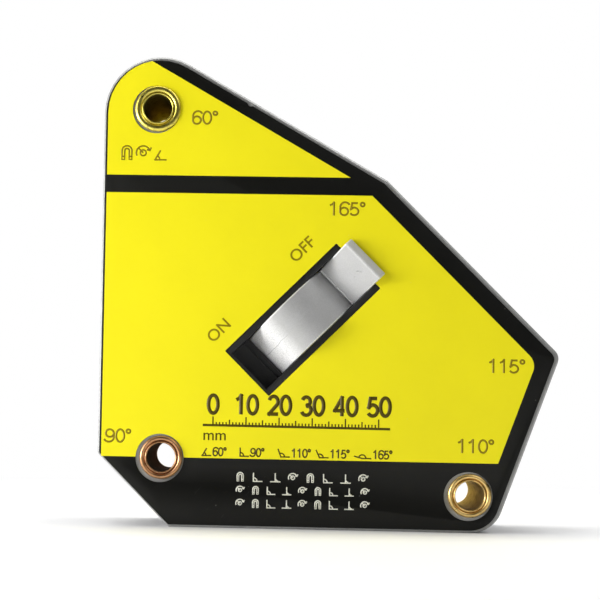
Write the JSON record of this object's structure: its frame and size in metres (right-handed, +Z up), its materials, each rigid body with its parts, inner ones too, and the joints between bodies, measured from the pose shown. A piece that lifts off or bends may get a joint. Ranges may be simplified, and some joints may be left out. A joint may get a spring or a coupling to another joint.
{
  "type": "switchable welding magnet holder",
  "caption": "Five-sided switchable welding magnet with steel pole plates, brass eyelets and a thumb lever that turns an inner magnet rotor.",
  "frame": {"origin": "on the bottom work edge, under the middle of the bounding box", "axes": "+Z up the plates from the bottom work edge, +X to the right seen from the lever side, +Y from the lever side to the back"},
  "size_m": [0.1443, 0.0399, 0.1493],
  "materials": {
    "plate_steel": "bare ground steel, slightly dull",
    "core_plastic": "black moulded plastic",
    "label_sheet": "printed satin sheet, yellow fields on black",
    "lever_paint": "silver painted die casting",
    "bezel_plastic": "black moulded plastic",
    "eyelet_brass": "rolled bright brass",
    "inner_steel": "turned steel",
    "magnet_nickel": "nickel plated magnet",
    "shoe_iron": "machined soft iron",
    "bush_bronze": "sintered bronze"
  },
  "bodies": {
    "housing": {"front_pole_plate": "plate_steel", "back_pole_plate": "plate_steel", "core_front": "core_plastic", "core_back": "core_plastic", "front_label": "label_sheet", "back_label": "label_sheet", "lever_bezel": "bezel_plastic", "eyelet_top": "eyelet_brass", "eyelet_left": "eyelet_brass", "eyelet_right": "eyelet_brass", "sleeve_top": "inner_steel", "sleeve_left": "inner_steel", "sleeve_right": "inner_steel", "pole_shoe_front_upper": "shoe_iron", "pole_shoe_front_lower": "shoe_iron", "pole_shoe_back_upper": "shoe_iron", "pole_shoe_back_lower": "shoe_iron", "axle_bush_upper": "bush_bronze", "axle_bush_lower": "bush_bronze", "friction_washer_upper": "inner_steel", "friction_washer_lower": "inner_steel"},
    "rotor": {"lever": "lever_paint", "axle_pin": "inner_steel", "rotor_magnet_upper": "magnet_nickel", "rotor_magnet_lower": "magnet_nickel", "drive_key_upper": "inner_steel", "drive_key_lower": "inner_steel", "retaining_ring_upper": "inner_steel", "retaining_ring_lower": "inner_steel"}
  },
  "joints": [
    {"name": "lever_turn", "type": "hinge", "parent": "housing", "child": "rotor", "pos_m": [-0.008, -0.0028, 0.0659], "axis": [0.7071, 0, -0.7071], "range_deg": [0, 110]}
  ]
}
